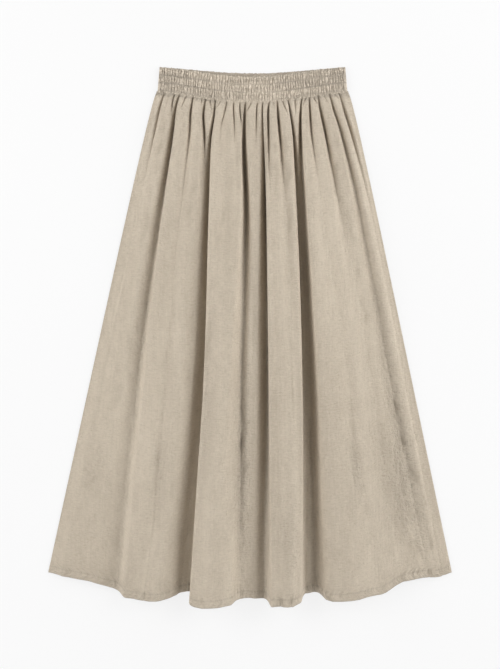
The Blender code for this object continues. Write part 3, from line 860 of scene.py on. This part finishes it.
def waistband(material):
    """The casing: a ring whose section is the wall, with the front lying on the back."""
    points = band_points().transpose(1, 0, 2)
    points = np.concatenate([points, points[:1]])
    points = np.concatenate([points, points[:, :1]], 1)
    loop, rows = band_loop(), band_rows()
    facing, _, across = np.concatenate([loop, loop[:1]]).T
    rows.append(rows[0])
    share, side = (np.array([row[k] for row in rows])[:, None] for k in (0, 1))
    # painted shade along the rows of stitches, patchy, and over the whole inside of the casing
    groove = sum(falloff((share - down) * BAND_DEPTH, 0.0009) for down in stitch_rows())
    groove = groove * np.where(share > 0.9, 0.3, 0.8)  # faint on the seam's own lip
    patchy = 0.6 + 0.5 * lumps(across * 16, share * 3, 86) + 0.35 * ease(0.5, 0.1, across)
    groove = np.where(side > 0, groove * patchy, 0.9 * (side < 0))
    ridges = np.array([shirring(facing, across, row[0], row[3]) for row in rows])
    # painted highlight on the shirred ridges and painted shade between them, with random tone
    worn = np.clip(3.2 * (ridges - MEAN_RIDGE), -1.6, 1.2)
    worn = worn + 0.5 * lumps(across * 150, share * 9, 87)
    marks = dict(groove=groove, crumple=0.3, pucker=0, worn=worn)
    band = cloth_grid("shirred_waistband", points, marks, material)
    bpy.ops.object.mode_set(mode="EDIT")
    bpy.ops.mesh.select_all(action="SELECT")
    bpy.ops.mesh.remove_doubles(threshold=1e-6)
    bpy.ops.mesh.normals_make_consistent(inside=False)
    bpy.ops.object.mode_set(mode="OBJECT")
    band.select_set(False)
    return band


# ------------------------------------------------------------ stitching

THREAD = 0.00042
THREAD_SIDES = 6
THREAD_LIFT = 0.0002  # of the thread over the waistband's wall
STITCH = 0.0026
STITCH_PITCH = 0.0033
STITCH_DIP = 0.0004
SMOOTHED = 4  # points to each side over which a row of stitches levels out
BAND_BARE_ENDS, HEM_BARE_ENDS = 3, 2  # points without stitches at each end of a row
# Rings of a stitch: place along it, and share of the thread's thickness
THREAD_RINGS = ((-0.5, 0.0), (-0.48, 0.6), (-0.3, 1.0), (0.3, 1.0), (0.48, 0.6), (0.5, 0.0))


def one_stitch():
    """Points and faces of a stitch along X: a stretched bead whose ends dip into the cloth."""
    rings = len(THREAD_RINGS) - 1
    bpy.ops.mesh.primitive_uv_sphere_add(segments=THREAD_SIDES, ring_count=rings, radius=1)
    bead = bpy.context.object
    points = []
    for vertex in bead.data.vertices:
        turn = math.atan2(vertex.co.y, vertex.co.x)
        ring = round((1 - math.acos(max(-1, min(1, vertex.co.z))) / math.pi) * rings)
        along, thick = THREAD_RINGS[ring]
        radius = thick * THREAD / 2
        dip = -STITCH_DIP * (2 * along) ** 4
        points.append((along * STITCH, radius * math.cos(turn), radius * math.sin(turn) + dip))
    # sorted, because the bead's faces come in another order each time
    faces = sorted(tuple(face.vertices) for face in bead.data.polygons)
    bpy.data.objects.remove(bead)
    return np.array(points), faces


def on_line(line, along, place):
    """The point of a line this far along it."""
    return np.array([np.interp(place, along, line[:, axis]) for axis in range(3)])


def stitching(name, lines, material):
    """Rows of stitches along lines of points, each with the way that is up."""
    shape, shape_faces = one_stitch()
    points, faces = [], []
    for line, up in lines:
        steps = np.linalg.norm(np.diff(line, axis=0), axis=1)
        along = np.concatenate([[0], np.cumsum(steps)])
        count = int(along[-1] / STITCH_PITCH)
        for n in range(count):
            middle = (n + 0.5) * along[-1] / count
            start, end = (on_line(line, along, middle + d) for d in (-STITCH / 2, STITCH / 2))
            forward = (end - start) / np.linalg.norm(end - start)
            sideways = np.cross(up, forward)
            sideways /= np.linalg.norm(sideways)
            axes = np.array([forward, sideways, np.cross(forward, sideways)])
            faces += [tuple(k + len(points) * len(shape) for k in face) for face in shape_faces]
            points.append((start + end) / 2 + shape @ axes)
    mesh = bpy.data.meshes.new(name)
    mesh.from_pydata(np.concatenate(points).tolist(), [], faces)
    mesh.materials.append(material)
    mesh.shade_smooth()
    piece = bpy.data.objects.new(name, mesh)
    bpy.context.scene.collection.objects.link(piece)
    work = bmesh.new()
    work.from_mesh(mesh)
    bmesh.ops.recalc_face_normals(work, faces=work.faces)
    work.to_mesh(mesh)
    work.free()
    return piece


def band_stitch_lines():
    """Lines of points just on the wall, along each row of stitches, on the front and the back."""
    facings, rows, points = band_loop()[:, 0], band_rows(), band_points()
    smooth = np.ones(2 * SMOOTHED + 1) / (2 * SMOOTHED + 1)
    lines = []
    for share in stitch_rows():
        row = min(range(len(rows)), key=lambda j: abs(rows[j][0] - share) + (rows[j][1] < 1))
        for facing in (1.0, -1.0):
            line = points[facings == facing, row].copy()
            height = np.convolve(np.pad(line[:, 2], SMOOTHED, mode="edge"), smooth, "valid")
            line[:, 2] = np.clip(height + facing * THREAD_LIFT, THREAD / 2, None)
            lines.append((line[BAND_BARE_ENDS:-BAND_BARE_ENDS], (0, 0, facing)))
    return lines


def hem_stitch_line(grid, rows):
    """A line of points on the panel's upper side, along the stitches of its hem."""
    row = int(np.argmin(np.abs((1 - rows) * SIDE_FALL - HEM_STITCHES)))
    line = grid[row, HEM_BARE_ENDS:-HEM_BARE_ENDS].copy()
    line[:, 2] += PANEL_WALL / 2
    return line, (0, 0, 1)


# ------------------------------------------------------------ materials

LINEN_LIGHT, LINEN_DARK = (0.590, 0.513, 0.412, 1), (0.450, 0.384, 0.302, 1)
# lighter than the panels' linen, with light and dark far apart, to carry the painted highlight and shade of its ridges
BAND_LIGHT, BAND_DARK = (0.755, 0.662, 0.546, 1), (0.505, 0.434, 0.346, 1)
THREAD_COLOUR = (0.600, 0.520, 0.420, 1)

# Patterns of the cloth: lumps to a metre across and down, steps of finer detail, their roughness
PATTERNS = dict(
    warp_slubs=(1150, 55, 2, 0.5),
    weft_slubs=(60, 700, 2, 0.5),
    mottle=(28, 16, 3, 0.5),
    grain=(420, 300, 3, 0.65),
    streak=(300, 16, 2, 0.6),
    crinkle=(210, 120, 4, 0.6),
    ladder=(140, 430, 3, 0.6),
    wash=(75, 40, 3, 0.55),
    ticks=(190, 55, 1, 0.5),
    dotted=(330, 90, 1, 0.5),
)
# How much each pattern lightens the cloth
TONES = dict(threads=0.8, mottle=0.3, grain=0.6, wash=0.5, streak=0.4, ladder=0.8)
# how much the painted shade and highlight of pleats, creases and shirred ridges, with abrasion, change the cloth's
# tone
ABRASION_AND_SHADE_TONE = 0.24
TONE_LEVEL = 1.17
CRINKLE_SHADE_STEPS = (0.46, 0.34)  # painted shade opens in the fine crinkles as the pattern falls from the first to the second
CRINKLE_SHADE_TONE = 0.55
# how much the hem's puckers are painted lighter where raised and darker between
PUCKER_SHADE_AND_HIGHLIGHT = 2.6
PUCKER_RELIEF = 1.6
GROOVE_SHADE = 0.62  # painted shade of the stitched grooves, the hem's edge, the panels' sides and the band's inside, as a share of the cloth's darkest
# How much each pattern raises the cloth: everywhere, and more as it is crumpled
RELIEFS = dict(
    crinkle=(0.4, 0.9),
    ladder=(0.35, 0.5),
    grain=(0.3, 0),
    threads=(0.4, 0),
    streak=(0.15, 0),
    wash=(0.3, 0.5),
)
RELIEF_DEPTH = 0.0024


class Value:
    """A number in a shader, on which Python's arithmetic builds Math nodes."""

    def __init__(self, shader, socket):
        self.shader = shader
        self.socket = socket

    def maths(self, operation, first, second):
        return self.shader.value("ShaderNodeMath", dict(operation=operation), {0: first, 1: second})

    def __add__(self, other):
        return self.maths("ADD", self, other)

    def __radd__(self, other):
        return self.maths("ADD", other, self)

    def __sub__(self, other):
        return self.maths("SUBTRACT", self, other)

    def __rsub__(self, other):
        return self.maths("SUBTRACT", other, self)

    def __mul__(self, other):
        return self.maths("MULTIPLY", self, other)

    def __rmul__(self, other):
        return self.maths("MULTIPLY", other, self)


class Shader:
    """The nodes of a material, or of the light all round."""

    def __init__(self, owner):
        self.owner = owner
        owner.use_nodes = True
        self.tree = owner.node_tree

    def fill(self, node, sockets):
        """Joins values to a node's sockets, or sets plain numbers and colours on them."""
        for key, value in sockets.items():
            if isinstance(value, Value):
                value = value.socket
            if isinstance(value, bpy.types.NodeSocket):
                self.tree.links.new(value, node.inputs[key])
            else:
                node.inputs[key].default_value = value

    def node(self, kind, settings=None, sockets=None):
        node = self.tree.nodes.new(kind)
        for name, setting in (settings or {}).items():
            setattr(node, name, setting)
        self.fill(node, sockets or {})
        return node

    def value(self, kind, settings=None, sockets=None, output=0):
        return Value(self, self.node(kind, settings, sockets).outputs[output])

    def finish(self, last, sockets):
        """Fills the node that gives the surface or the light."""
        self.fill(self.tree.nodes[last], sockets)
        return self.owner

    def noise(self, coords, across, down, detail, rough=0.5):
        """Noise with so many lumps to a metre each way."""
        stretch = {0: coords, 1: (across, down, 1)}
        place = self.node("ShaderNodeVectorMath", dict(operation="MULTIPLY"), stretch).outputs[0]
        sockets = {"Vector": place, "Scale": 1.0, "Detail": detail, "Roughness": rough}
        return self.value("ShaderNodeTexNoise", {}, sockets)

    def mark(self, name):
        """A value that the mesh carries."""
        return self.value("ShaderNodeAttribute", dict(attribute_name=name), output=2)

    def steps(self, value, low, high):
        """0 on low's side, 1 on high's side, smooth between."""
        sockets = {"Value": value, "From Min": low, "From Max": high}
        return self.value("ShaderNodeMapRange", dict(interpolation_type="SMOOTHSTEP"), sockets)

    def tint(self, share, first, second):
        """A colour between two, by a share."""
        sockets = {0: share, 6: first, 7: second}
        return self.node("ShaderNodeMix", dict(data_type="RGBA"), sockets).outputs[2]


def darker(colour, share):
    return tuple(share * part for part in colour[:3]) + (1,)


def washed_linen(name, light, dark):
    """Plain weave of linen and cotton after washing: slubs both ways, mottling, fine crumpling."""
    shader = Shader(bpy.data.materials.new(name))
    flat = shader.node("ShaderNodeUVMap", dict(uv_map="cloth")).outputs[0]
    patterns = {pattern: shader.noise(flat, *row) for pattern, row in PATTERNS.items()}
    patterns["threads"] = (patterns["warp_slubs"] + patterns["weft_slubs"]) * 0.5
    groove, crumpled = shader.mark("groove"), shader.mark("crumple")
    worn, pucker = shader.mark("worn"), shader.mark("pucker")

    # painted shade and highlight of the pleats, creases and shirred ridges, with abrasion
    tone = worn * ABRASION_AND_SHADE_TONE - TONE_LEVEL
    for pattern, weight in TONES.items():
        tone = tone + patterns[pattern] * weight
    # painted shade in the troughs of the fine crinkles, more where the cloth is crumpled
    crinkle_shade = shader.steps(patterns["ladder"] * 0.4 + patterns["crinkle"] * 0.6, *CRINKLE_SHADE_STEPS)
    tone = tone - crinkle_shade * (crumpled - 0.2) * CRINKLE_SHADE_TONE
    # painted highlight and shade on the hem's puckers, following their relief
    share = shader.steps(tone + pucker * (patterns["ticks"] - 0.5) * PUCKER_SHADE_AND_HIGHLIGHT, 0.0, 1.0)
    # dotted painted shade along the stitched grooves, the edges and the band's inside
    painted_groove_shade = groove * (0.45 + shader.steps(patterns["dotted"], 0.3, 0.7) * 0.5)
    cloth = shader.tint(share, dark, light)
    colour = shader.tint(painted_groove_shade, cloth, darker(dark, GROOVE_SHADE))

    height = pucker * patterns["ticks"] * PUCKER_RELIEF
    for pattern, (evenly, crumpling_adds) in RELIEFS.items():
        weight = evenly + crumpled * crumpling_adds if crumpling_adds else evenly
        height = height + patterns[pattern] * weight
    relief = {"Strength": 1.0, "Distance": RELIEF_DEPTH, "Height": height}
    surface = {
        "Base Color": colour,
        "Roughness": 0.84 + share * 0.12,
        "Specular IOR Level": 0.25,
        "Sheen Weight": 0.12,
        "Sheen Roughness": 0.5,
        "Normal": shader.node("ShaderNodeBump", {}, relief).outputs[0],
    }
    return shader.finish("Principled BSDF", surface)


def sewing_thread(name, colour):
    """Twisted polyester thread, a little glossier than the cloth."""
    shader = Shader(bpy.data.materials.new(name))
    place = shader.node("ShaderNodeTexCoord").outputs["Object"]
    twist = {"Vector": place, "Scale": 900.0, "Distortion": 1.0}
    strands = shader.value("ShaderNodeTexWave", dict(bands_direction="DIAGONAL"), twist, 1)
    tint = shader.tint(strands, darker(colour, 0.82), colour)
    surface = {"Base Color": tint, "Roughness": 0.55 + strands * 0.15}
    return shader.finish("Principled BSDF", surface)


def plain_floor(name):
    """A pale studio table that glows a little, so it stays even under the skirt's edges."""
    shader = Shader(bpy.data.materials.new(name))
    place = shader.node("ShaderNodeTexCoord").outputs["Object"]
    cloud = shader.noise(place, 1.5, 1.5, 2)
    surface = {
        "Base Color": shader.tint(cloud, (0.15, 0.15, 0.15, 1), (0.17, 0.17, 0.17, 1)),
        "Roughness": 0.9,
        "Emission Color": (1, 1, 1, 1),
        "Emission Strength": 0.77,
    }
    return shader.finish("Principled BSDF", surface)


# ------------------------------------------------------------ the pieces

FRONT_COLUMNS = 8 * GATHERS
FRONT_ROWS = spaced_rows(
    (0.004, 3), (0.03, 14), (0.10, 16), (0.22, 20), (0.94, 94), (0.982, 8), (1, 13)
)
BACK_COLUMNS = 8 * BACK_GATHERS
BACK_ROWS = spaced_rows((0.03, 8), (0.12, 14), (0.94, 66), (0.982, 6), (1, 10))

front_linen = washed_linen("front_linen", LINEN_LIGHT, LINEN_DARK)
back_linen = washed_linen("back_linen", LINEN_LIGHT, LINEN_DARK)
band_linen = washed_linen("band_linen", BAND_LIGHT, BAND_DARK)
thread = sewing_thread("thread", THREAD_COLOUR)

front_grid, front_cloth, front_across = front_points(FRONT_COLUMNS, FRONT_ROWS)
front_marks = panel_marks(front_cloth, front_across, FRONT_ROWS)
front = cloth_shell("front_skirt_cloth", front_grid, front_marks, PANEL_WALL, front_linen)

back_grid = back_points(BACK_COLUMNS, BACK_ROWS)
back_across = np.linspace(0, 1, BACK_COLUMNS + 1)
back_marks = panel_marks(back_across, 1 - back_across[None, :], BACK_ROWS)
back = cloth_shell("back_skirt_cloth", back_grid, back_marks, PANEL_WALL, back_linen)

band = waistband(band_linen)
band_stitching = stitching("waistband_stitching", band_stitch_lines(), thread)
hem_lines = [hem_stitch_line(front_grid, FRONT_ROWS), hem_stitch_line(back_grid, BACK_ROWS)]
hem_stitching = stitching("hem_stitching", hem_lines, thread)

for piece in (front, back, band, band_stitching, hem_stitching):
    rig.ride(piece, "root")
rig.replaces(front, "front_panel")
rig.replaces(back, "back_panel")
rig.replaces(band, "waistband")
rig.slot(front, "front_cloth")
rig.slot(back, "back_cloth")
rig.slot(band, "band_cloth")
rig.slot(band_stitching, "band_cloth")
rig.slot(hem_stitching, "front_cloth")
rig.sheet(back, held="laid", **flat_size(back_grid))
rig.sheet(
    front, held="laid", rests_on=[back], with_pieces=[hem_stitching], **flat_size(front_grid)
)
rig.sheet(
    band, flat=(0.66, 0.042), held="gathered", rests_on=[back], with_pieces=[band_stitching]
)

# ------------------------------------------------------------ floor, light and camera

FLOOR_SIZE = 7.0
FLOOR_GAP = 0.0003  # under the lowest cloth
SOFTBOX_SIZE = 1.2
WALL_FOOT = (0.08, 0.26)  # how high the pale foot of the walls starts and stops fading
CAMERA_HEIGHT = 1.6
CAMERA_Y = 0.0012
PHOTO_HEIGHT = 669  # pixels
PIXEL = 0.00164  # metres to a pixel of the photograph, on the floor
SENSOR = 36.0

bpy.ops.mesh.primitive_plane_add(size=FLOOR_SIZE, location=(0, 0, 0))
floor = bpy.context.object
floor.name = "floor"
for vertex in floor.data.vertices:
    vertex.co.z -= FLOOR_GAP
floor.data.materials.append(plain_floor("studio_table"))
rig.stage(floor)


def softbox(name, place, power):
    """A square of soft light that faces the middle of the skirt."""
    lamp = bpy.data.lights.new(name, "AREA")
    lamp.size = SOFTBOX_SIZE
    lamp.energy = power
    light = bpy.data.objects.new(name, lamp)
    light.location = place
    x, y, z = place
    light.rotation_euler = (math.atan2(math.hypot(x, y), z), 0, math.atan2(-x, y) + math.pi)
    bpy.context.scene.collection.objects.link(light)


def studio_walls(sides, ends, overhead, foot, lean):
    """White light all round: strengths from the sides, the ends and overhead.

    foot is the strength of the pale walls next to the floor, and lean how much more of the rest
    comes from the right.
    """
    shader = Shader(bpy.data.worlds.new("studio"))
    place = shader.node("ShaderNodeTexCoord").outputs["Generated"]
    split = shader.node("ShaderNodeSeparateXYZ", {}, {0: place})
    square = shader.node("ShaderNodeVectorMath", dict(operation="MULTIPLY"), {0: place, 1: place})
    weights = {0: square.outputs[0], 1: (sides, ends, overhead)}
    even = shader.value("ShaderNodeVectorMath", dict(operation="DOT_PRODUCT"), weights, "Value")
    more_right = {0: split.outputs["X"], 1: lean, 2: 1}
    tilt = shader.value("ShaderNodeMath", dict(operation="MULTIPLY_ADD"), more_right)
    sockets = {"Value": split.outputs["Z"], "From Min": WALL_FOOT[0], "From Max": WALL_FOOT[1]}
    sockets.update({"To Min": foot, "To Max": even * tilt})
    rise = shader.value("ShaderNodeMapRange", dict(interpolation_type="SMOOTHSTEP"), sockets)
    return shader.finish("Background", {"Strength": rise, "Color": (1, 1, 1, 1)})


softbox("left_softbox", (-1.8, 0.7, 1.1), 15)
softbox("right_softbox", (1.8, 0.7, 1.1), 17)
bpy.context.scene.world = studio_walls(sides=3.2, ends=0.08, overhead=0.03, foot=0.95, lean=0.06)
bpy.context.scene.view_settings.view_transform = "Standard"

lens = bpy.data.cameras.new("camera")
lens.sensor_fit = "VERTICAL"
lens.sensor_height = SENSOR
lens.lens = SENSOR * CAMERA_HEIGHT / (PHOTO_HEIGHT * PIXEL)
camera = bpy.data.objects.new("camera", lens)
camera.location = (0, CAMERA_Y, CAMERA_HEIGHT)
bpy.context.scene.collection.objects.link(camera)
bpy.context.scene.camera = camera

shown_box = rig.bounds()
with open("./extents.json", "w") as sizes:
    json.dump({"cad": np.array(cad_box).tolist(), "visual": np.array(shown_box).tolist()}, sizes)
